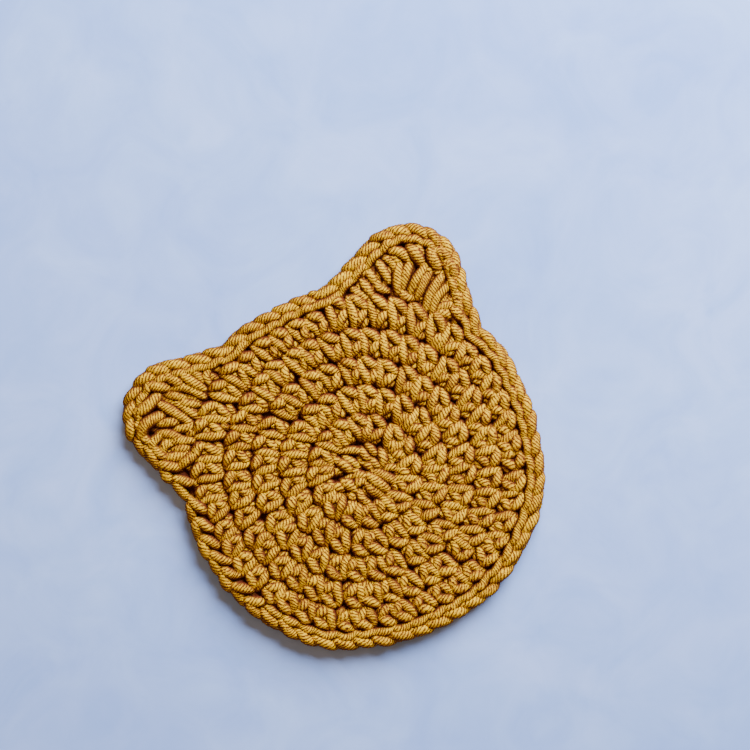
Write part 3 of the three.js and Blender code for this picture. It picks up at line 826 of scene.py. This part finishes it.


# Six-ply cabled cotton, combed and hard twisted. Each ply shows as a soft ridge in the full dye colour with
# a thin line of painted shade on either side of it, and painted shade darkens the yarn deep in the fabric
# and on the strands' flanks.
def cabled_cotton():
    material, tree = new_material("cabled_cotton_mustard_painted_shade")
    place = add_node(tree, "ShaderNodeTexCoord").outputs["Object"]
    fibres = add_node(tree, "ShaderNodeTexNoise", {
        "Vector": place, "Scale": lumps_of(FIBRE_TUFT), "Detail": 2.0, "Roughness": 0.6,
    })
    fluff = add_node(tree, "ShaderNodeTexNoise", {
        "Vector": place, "Scale": lumps_of(FLUFF_PATCH), "Detail": 3.0, "Roughness": 0.7,
    })
    ridge = ply_ridges(tree, fluff)
    painted_shading = add_node(tree, "ShaderNodeMath", {
        0: felted_lines(tree, ridge, fluff), 1: painted_shade_between_strands(tree, place),
    }, operation="MULTIPLY")
    dyed_with_painted_shade = add_node(tree, "ShaderNodeValToRGB", {"Fac": wear_and_painted_shade(tree, painted_shading, fluff, fibres)})
    stops = dyed_with_painted_shade.color_ramp.elements
    stops[0].color = linear(MUSTARD_AND_PAINTED_SHADE[0].colour)
    stops[1].color = linear(MUSTARD_AND_PAINTED_SHADE[-1].colour)
    for dye in MUSTARD_AND_PAINTED_SHADE[1:-1]:
        stops.new(dye.share).color = linear(dye.colour)
    fibre_bump = add_node(tree, "ShaderNodeBump", {"Height": fibres, "Strength": 0.4, "Distance": 0.1 * MM})
    ply_bump = add_node(tree, "ShaderNodeBump", {
        "Height": ridge, "Strength": 1.0, "Distance": 0.12 * MM, "Normal": fibre_bump,
    })
    cotton = add_node(tree, "ShaderNodeBsdfPrincipled", {
        "Base Color": dyed_with_painted_shade, "Roughness": 0.75, "Specular IOR Level": 0.04, "Normal": ply_bump,
    })
    add_node(tree, "ShaderNodeOutputMaterial", {"Surface": cotton})
    return material


# The inner turns of the same cotton, which show only between strands. Their colour is painted shade: a deep
# red-brown, without plies.
def inner_turns_painted_shade():
    material, tree = new_material("cabled_cotton_inner_turns_painted_shade")
    place = add_node(tree, "ShaderNodeTexCoord").outputs["Object"]
    lumps = add_node(tree, "ShaderNodeTexNoise", {
        "Vector": place, "Scale": lumps_of(INNER_LUMP), "Detail": 3.0,
    })
    shade = add_node(tree, "ShaderNodeMix", {
        "Factor": lumps, 6: linear("#4A1A0A"), 7: linear("#7A3A16"),
    }, data_type="RGBA")
    bump = add_node(tree, "ShaderNodeBump", {"Height": lumps, "Strength": 0.6, "Distance": 0.3 * MM})
    cotton = add_node(tree, "ShaderNodeBsdfPrincipled", {
        "Base Color": shade.outputs[2], "Roughness": 0.9, "Specular IOR Level": 0.2, "Normal": bump,
    })
    add_node(tree, "ShaderNodeOutputMaterial", {"Surface": cotton})
    return material


# Sizes in the floor's paint, in millimetres
PAINT_CLOUD = 71.43
KNIFE_STROKE = 23.81


# Smooth painted plaster board, matte, a pale blue grey. Faint clouds almost a hand's
# width across lie under the paint, and strokes of the filling knife a third as wide.
def plaster():
    material, tree = new_material("painted_plaster")
    place = add_node(tree, "ShaderNodeTexCoord").outputs["Object"]
    clouds = add_node(tree, "ShaderNodeTexNoise", {
        "Vector": place, "Scale": lumps_of(PAINT_CLOUD), "Detail": 4.0, "Roughness": 0.55,
    })
    strokes = add_node(tree, "ShaderNodeTexNoise", {
        "Vector": place, "Scale": lumps_of(KNIFE_STROKE), "Detail": 5.0, "Roughness": 0.6,
        "Distortion": 1.2,
    })
    blotched = add_node(tree, "ShaderNodeMath", {0: clouds, 1: strokes}, operation="MULTIPLY")
    spread = add_node(tree, "ShaderNodeMapRange", {"Value": blotched, "From Min": 0.14, "From Max": 0.38})
    paint = add_node(tree, "ShaderNodeMix", {
        "Factor": spread, 6: linear("#9FB5EC"), 7: linear("#BBCBFA"),
    }, data_type="RGBA")
    board = add_node(tree, "ShaderNodeBsdfPrincipled", {
        "Base Color": paint.outputs[2], "Roughness": 0.8, "Specular IOR Level": 0.2,
    })
    add_node(tree, "ShaderNodeOutputMaterial", {"Surface": board})
    return material


YARN_INPUTS = {
    "Lines": "NodeSocketGeometry",
    "Yarn radius": "NodeSocketFloat",
    "Plies": "NodeSocketInt",
    "Ply pitch": "NodeSocketFloat",
    "Groove share": "NodeSocketFloat",
    "Ring spacing": "NodeSocketFloat",
    "Yarn": "NodeSocketMaterial",
}


def wound_lines(tree, given):
    """Each strand's middle line, turning as it goes, so that its plies wind round it."""
    lines = add_node(tree, "GeometryNodeMeshToCurve", {"Mesh": given["Lines"]})
    smooth = add_node(tree, "GeometryNodeCurveSplineType", {"Curve": lines}, spline_type="CATMULL_ROM")
    rings = add_node(tree, "GeometryNodeResampleCurve", {
        "Curve": smooth, "Length": given["Ring spacing"],
    }, mode="LENGTH")
    spot = add_node(tree, "GeometryNodeSplineParameter")
    tint = add_node(tree, "GeometryNodeInputNamedAttribute", {"Name": "tint"}, data_type="FLOAT")
    lay = add_node(tree, "ShaderNodeMath", {0: given["Plies"], 1: given["Ply pitch"]}, operation="MULTIPLY")
    looser = add_node(tree, "ShaderNodeMath", {
        0: tint, 1: LAY_SPREAD, 2: TIGHTEST_LAY,
    }, operation="MULTIPLY_ADD")
    own_lay = add_node(tree, "ShaderNodeMath", {0: lay, 1: looser}, operation="MULTIPLY")
    turns = add_node(tree, "ShaderNodeMath", {0: spot.outputs["Length"], 1: own_lay}, operation="DIVIDE")
    begun = add_node(tree, "ShaderNodeMath", {0: turns, 1: tint}, operation="ADD")
    turned = add_node(tree, "ShaderNodeMath", {0: begun, 1: -2 * math.pi}, operation="MULTIPLY")
    return add_node(tree, "GeometryNodeSetCurveTilt", {"Curve": rings, "Tilt": turned})


def plied_section(tree, given):
    """The strand's section, a circle on which each ply takes two points, its groove and
    its crest. Each point is marked with its place, for the lines between plies."""
    sides = add_node(tree, "ShaderNodeMath", {0: given["Plies"], 1: 2.0}, operation="MULTIPLY")
    circle = add_node(tree, "GeometryNodeCurvePrimitiveCircle", {
        "Resolution": sides, "Radius": 1.0,
    }, mode="RADIUS")
    position = add_node(tree, "GeometryNodeInputPosition")
    spot = add_node(tree, "ShaderNodeSeparateXYZ", {"Vector": position})
    marked_across = add_node(tree, "GeometryNodeStoreNamedAttribute", {
        "Geometry": circle, "Name": "section_x", "Value": spot.outputs["X"],
    }, data_type="FLOAT", domain="POINT")
    marked = add_node(tree, "GeometryNodeStoreNamedAttribute", {
        "Geometry": marked_across, "Name": "section_y", "Value": spot.outputs["Y"],
    }, data_type="FLOAT", domain="POINT")
    index = add_node(tree, "GeometryNodeInputIndex")
    crest = add_node(tree, "ShaderNodeMath", {0: index, 1: 2.0}, operation="MODULO")
    hollow = add_node(tree, "ShaderNodeMath", {0: 1.0, 1: crest}, operation="SUBTRACT")
    depth = add_node(tree, "ShaderNodeMath", {0: hollow, 1: given["Groove share"]}, operation="MULTIPLY")
    reach = add_node(tree, "ShaderNodeMath", {0: 1.0, 1: depth}, operation="SUBTRACT")
    drawn = add_node(tree, "ShaderNodeVectorMath", {0: position, "Scale": reach}, operation="SCALE")
    return add_node(tree, "GeometryNodeSetPosition", {"Geometry": marked, "Position": drawn})


def wound_yarn(tree, given):
    """The strands' mesh. Each of its points is marked with facing, which is 0 on a strand's flanks and 1 on
    its top and bottom, and sets where the flanks get painted shade."""
    position = add_node(tree, "GeometryNodeInputPosition")
    height = add_node(tree, "ShaderNodeSeparateXYZ", {"Vector": position})
    spine = add_node(tree, "GeometryNodeStoreNamedAttribute", {
        "Geometry": wound_lines(tree, given), "Name": "spine", "Value": height.outputs["Z"],
    }, data_type="FLOAT", domain="POINT")
    girth = add_node(tree, "GeometryNodeInputNamedAttribute", {"Name": "girth"}, data_type="FLOAT")
    size = add_node(tree, "ShaderNodeMath", {0: girth, 1: given["Yarn radius"]}, operation="MULTIPLY")
    tube = add_node(tree, "GeometryNodeCurveToMesh", {
        "Curve": spine, "Profile Curve": plied_section(tree, given), "Scale": size, "Fill Caps": True,
    })
    middle = add_node(tree, "GeometryNodeInputNamedAttribute", {"Name": "spine"}, data_type="FLOAT")
    rise = add_node(tree, "ShaderNodeMath", {0: height.outputs["Z"], 1: middle}, operation="SUBTRACT")
    lean = add_node(tree, "ShaderNodeMath", {0: rise, 1: size}, operation="DIVIDE")
    facing = add_node(tree, "ShaderNodeMath", {0: lean}, operation="ABSOLUTE")
    return add_node(tree, "GeometryNodeStoreNamedAttribute", {
        "Geometry": tube, "Name": "facing", "Value": facing,
    }, data_type="FLOAT", domain="POINT")


def yarn_tree():
    """Geometry nodes that wind plied yarn along every line of a mesh."""
    tree = bpy.data.node_groups.new("plied yarn", "GeometryNodeTree")
    for name, kind in YARN_INPUTS.items():
        tree.interface.new_socket(name, in_out="INPUT", socket_type=kind)
    tree.interface.new_socket("Yarn mesh", in_out="OUTPUT", socket_type="NodeSocketGeometry")
    given = add_node(tree, "NodeGroupInput").outputs
    yarn = wound_yarn(tree, given)
    shaded = add_node(tree, "GeometryNodeSetShadeSmooth", {"Geometry": yarn})
    solid = add_node(tree, "GeometryNodeRealizeInstances", {"Geometry": shaded})
    dyed_with_painted_shade = add_node(tree, "GeometryNodeSetMaterial", {"Geometry": solid, "Material": given["Yarn"]})
    add_node(tree, "NodeGroupOutput", {0: dyed_with_painted_shade})
    return tree


def add_object(name, data):
    made = bpy.data.objects.new(name, data)
    bpy.context.scene.collection.objects.link(made)
    return made


def strand_lines(name, strands):
    """A mesh of bare lines, one along each strand, with the girth, the weight of painted shade and the dye
    of the yarn that is wound along it."""
    places = []
    edges = []
    marks = {"girth": [], "pressed": [], "tint": []}
    for strand in strands:
        tint = play.random()
        for step, spot in enumerate(strand):
            if step:
                edges.append((len(places) - 1, len(places)))
            places.append((spot.x * MM, spot.y * MM, spot.z * MM))
            marks["girth"].append(spot.girth)
            marks["pressed"].append(spot.pressed)
            marks["tint"].append(tint)
    lines = bpy.data.meshes.new(name)
    lines.from_pydata(places, edges, [])
    for mark, values in marks.items():
        lines.attributes.new(mark, "FLOAT", "POINT").data.foreach_set("value", values)
    return lines


def yarn_piece(name, strands, tree, material, spacing):
    """One piece of the coaster: all its strands as plied yarn in one plain mesh."""
    lines = strand_lines(name + "_lines", strands)
    piece = add_object(name, lines)
    modifier = piece.modifiers.new("plied yarn", "NODES")
    modifier.node_group = tree
    given = {
        "Yarn radius": YARN_RADIUS * MM, "Plies": PLIES, "Ply pitch": PLY_PITCH * MM,
        "Groove share": PLY_GROOVE / YARN_RADIUS, "Ring spacing": spacing * MM,
        "Yarn": material,
    }
    for socket in tree.interface.items_tree:
        if socket.item_type == "SOCKET" and socket.name in given:
            modifier[socket.identifier] = given[socket.name]
    graph = bpy.context.evaluated_depsgraph_get()
    wound = bpy.data.meshes.new_from_object(
        piece.evaluated_get(graph), preserve_all_data_layers=True, depsgraph=graph,
    )
    piece.modifiers.remove(modifier)
    piece.data = wound
    wound.name = name
    bpy.data.meshes.remove(lines)
    return piece


def ground_piece(rim, material):
    """The inner turns of the stitches: a thin lumpy sheet halfway up the fabric."""
    lumps = random.Random(GROUND_SEED)
    vertices = []
    for height in (GROUND_TOP, GROUND_BOTTOM):
        vertices.append((HEAD_MIDDLE.x * MM, HEAD_MIDDLE.y * MM, height * MM))
        for ring in range(1, GROUND_RINGS + 1):
            for place in rim:
                spot = place * (ring / GROUND_RINGS) + HEAD_MIDDLE
                lump = lumps.uniform(-GROUND_LUMP, GROUND_LUMP) if ring < GROUND_RINGS else 0.0
                vertices.append((spot.x * MM, spot.y * MM, (height + lump) * MM))
    layer = 1 + GROUND_RINGS * GROUND_SIDES
    rim_start = layer - GROUND_SIDES
    neighbours = [(step, (step + 1) % GROUND_SIDES) for step in range(GROUND_SIDES)]
    faces = []
    for middle, order in ((0, 1), (layer, -1)):
        for here, ahead in neighbours:
            faces.append((middle, middle + 1 + here, middle + 1 + ahead)[::order])
            for ring in range(1, GROUND_RINGS):
                far = middle + 1 + ring * GROUND_SIDES
                near = far - GROUND_SIDES
                faces.append((near + here, far + here, far + ahead, near + ahead)[::order])
    for here, ahead in neighbours:
        above = rim_start + here
        above_ahead = rim_start + ahead
        faces.append((above, layer + above, layer + above_ahead, above_ahead))
    mesh = bpy.data.meshes.new("inner_turns")
    mesh.from_pydata(vertices, [], faces)
    mesh.shade_smooth()
    mesh.materials.append(material)
    return add_object("inner_turns", mesh)


FLOOR_SIZE = 8000.0


def floor_piece(material):
    reach = FLOOR_SIZE / 2 * MM
    corners = [(-reach, -reach, 0), (reach, -reach, 0), (reach, reach, 0), (-reach, reach, 0)]
    mesh = bpy.data.meshes.new("floor")
    mesh.from_pydata(corners, [], [(0, 1, 2, 3)])
    mesh.materials.append(material)
    return add_object("floor", mesh)


cotton = cabled_cotton()
winding = yarn_tree()
yarn_pieces = []


def add_yarn(name, strands, spacing):
    yarn_pieces.append(yarn_piece(name, strands, winding, cotton, spacing))


# The middle's face and the ears' are laid strand by strand, and the rest stitch by
# stitch. Each strand's unevenness is drawn as it is laid, so the pieces' order counts.
for index in range(len(ROUNDS)):
    face = round_strands(index, FACE_STITCH) if index else laid_strands(MIDDLE_AXIS, MIDDLE)
    add_yarn(f"round_{index + 1}", face, FACE_SPACING)
    add_yarn(f"round_{index + 1}_back", round_strands(index, BACK_STITCH), BACK_SPACING)
for ear, rows in zip(EARS, (RIGHT_EAR, LEFT_EAR)):
    add_yarn(ear.name, laid_strands(ear.axis, rows), FACE_SPACING)
    add_yarn(ear.name + "_inner", ear_strands(ear, INNER_POST), BACK_SPACING)
    add_yarn(ear.name + "_back", ear_strands(ear, BACK_POST), BACK_SPACING)
add_yarn("edging", edging_strands(FACE_EDGING, ROLLED_EDGING) + [edging_rope()], FACE_SPACING)
add_yarn("edging_back", edging_strands(BACK_EDGING, BACK_EDGING), BACK_SPACING)
ground_rim = [outline_place(step / GROUND_SIDES, GROUND_INSET)[0] for step in range(GROUND_SIDES)]
# The sheet's colour is painted shade.
ground = ground_piece(ground_rim, inner_turns_painted_shade())
floor = floor_piece(plaster())

for piece in yarn_pieces + [ground]:
    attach(piece, "root")
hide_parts(NODE)
for piece in yarn_pieces:
    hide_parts(NODE)


# The view from straight above, turned so that the coaster leans to the left
PHOTO_SIZE = 750
PIXELS_PER_MM = 3.6
HEAD_PIXEL = Vector((361, 465.8))  # where the head's middle lies in the picture
LEAN = math.radians(30)
CAMERA_HEIGHT = 620.0
CREST_HEIGHT = 4.5  # of the stitches, at which that scale holds
NEAREST_SEEN = 10.0
TO_RIGHT = heading(-LEAN)
TO_TOP = heading(math.pi / 2 - LEAN)


def photo_camera():
    """The camera, with the head's middle where the picture has it."""
    middle = PHOTO_SIZE / 2
    from_head = Vector((middle - HEAD_PIXEL.x, HEAD_PIXEL.y - middle)) / PIXELS_PER_MM
    aim = HEAD_MIDDLE + from_head.x * TO_RIGHT + from_head.y * TO_TOP
    field = PHOTO_SIZE / PIXELS_PER_MM
    data = bpy.data.cameras.new("camera")
    data.sensor_fit = "HORIZONTAL"
    data.angle = 2 * math.atan(field / 2 / (CAMERA_HEIGHT - CREST_HEIGHT))
    data.clip_start = NEAREST_SEEN * MM
    camera = add_object("camera", data)
    camera.location = (aim.x * MM, aim.y * MM, CAMERA_HEIGHT * MM)
    camera.rotation_euler = (0, 0, -LEAN)
    return camera


def soft_light(name, side, up, height, size, power, colour):
    """A square soft light, placed by how far it is to the picture's right and top."""
    data = bpy.data.lights.new(name, "AREA")
    data.shape = "SQUARE"
    data.size = size * MM
    data.energy = power
    data.color = linear(colour)[:3]
    light = add_object(name, data)
    ground_spot = side * TO_RIGHT + up * TO_TOP
    spot = Vector((ground_spot.x, ground_spot.y, height)) * MM
    light.location = spot
    light.rotation_euler = (-spot).to_track_quat("-Z", "Y").to_euler()


def soft_room(colour, strength):
    """The even light that the room's walls throw back."""
    world = bpy.data.worlds.new("soft room")
    world.use_nodes = True
    sky = next(node for node in world.node_tree.nodes if node.type == "BACKGROUND")
    sky.inputs["Color"].default_value = linear(colour)
    sky.inputs["Strength"].default_value = strength
    return world


bpy.context.scene.camera = photo_camera()
soft_light("window", side=240, up=500, height=385, size=520, power=21.6, colour="#CAE3FF")
soft_light("fill", side=-300, up=100, height=900, size=700, power=0.8, colour="#FFECD0")
bpy.context.scene.world = soft_room(colour="#FFD8A8", strength=0.26)
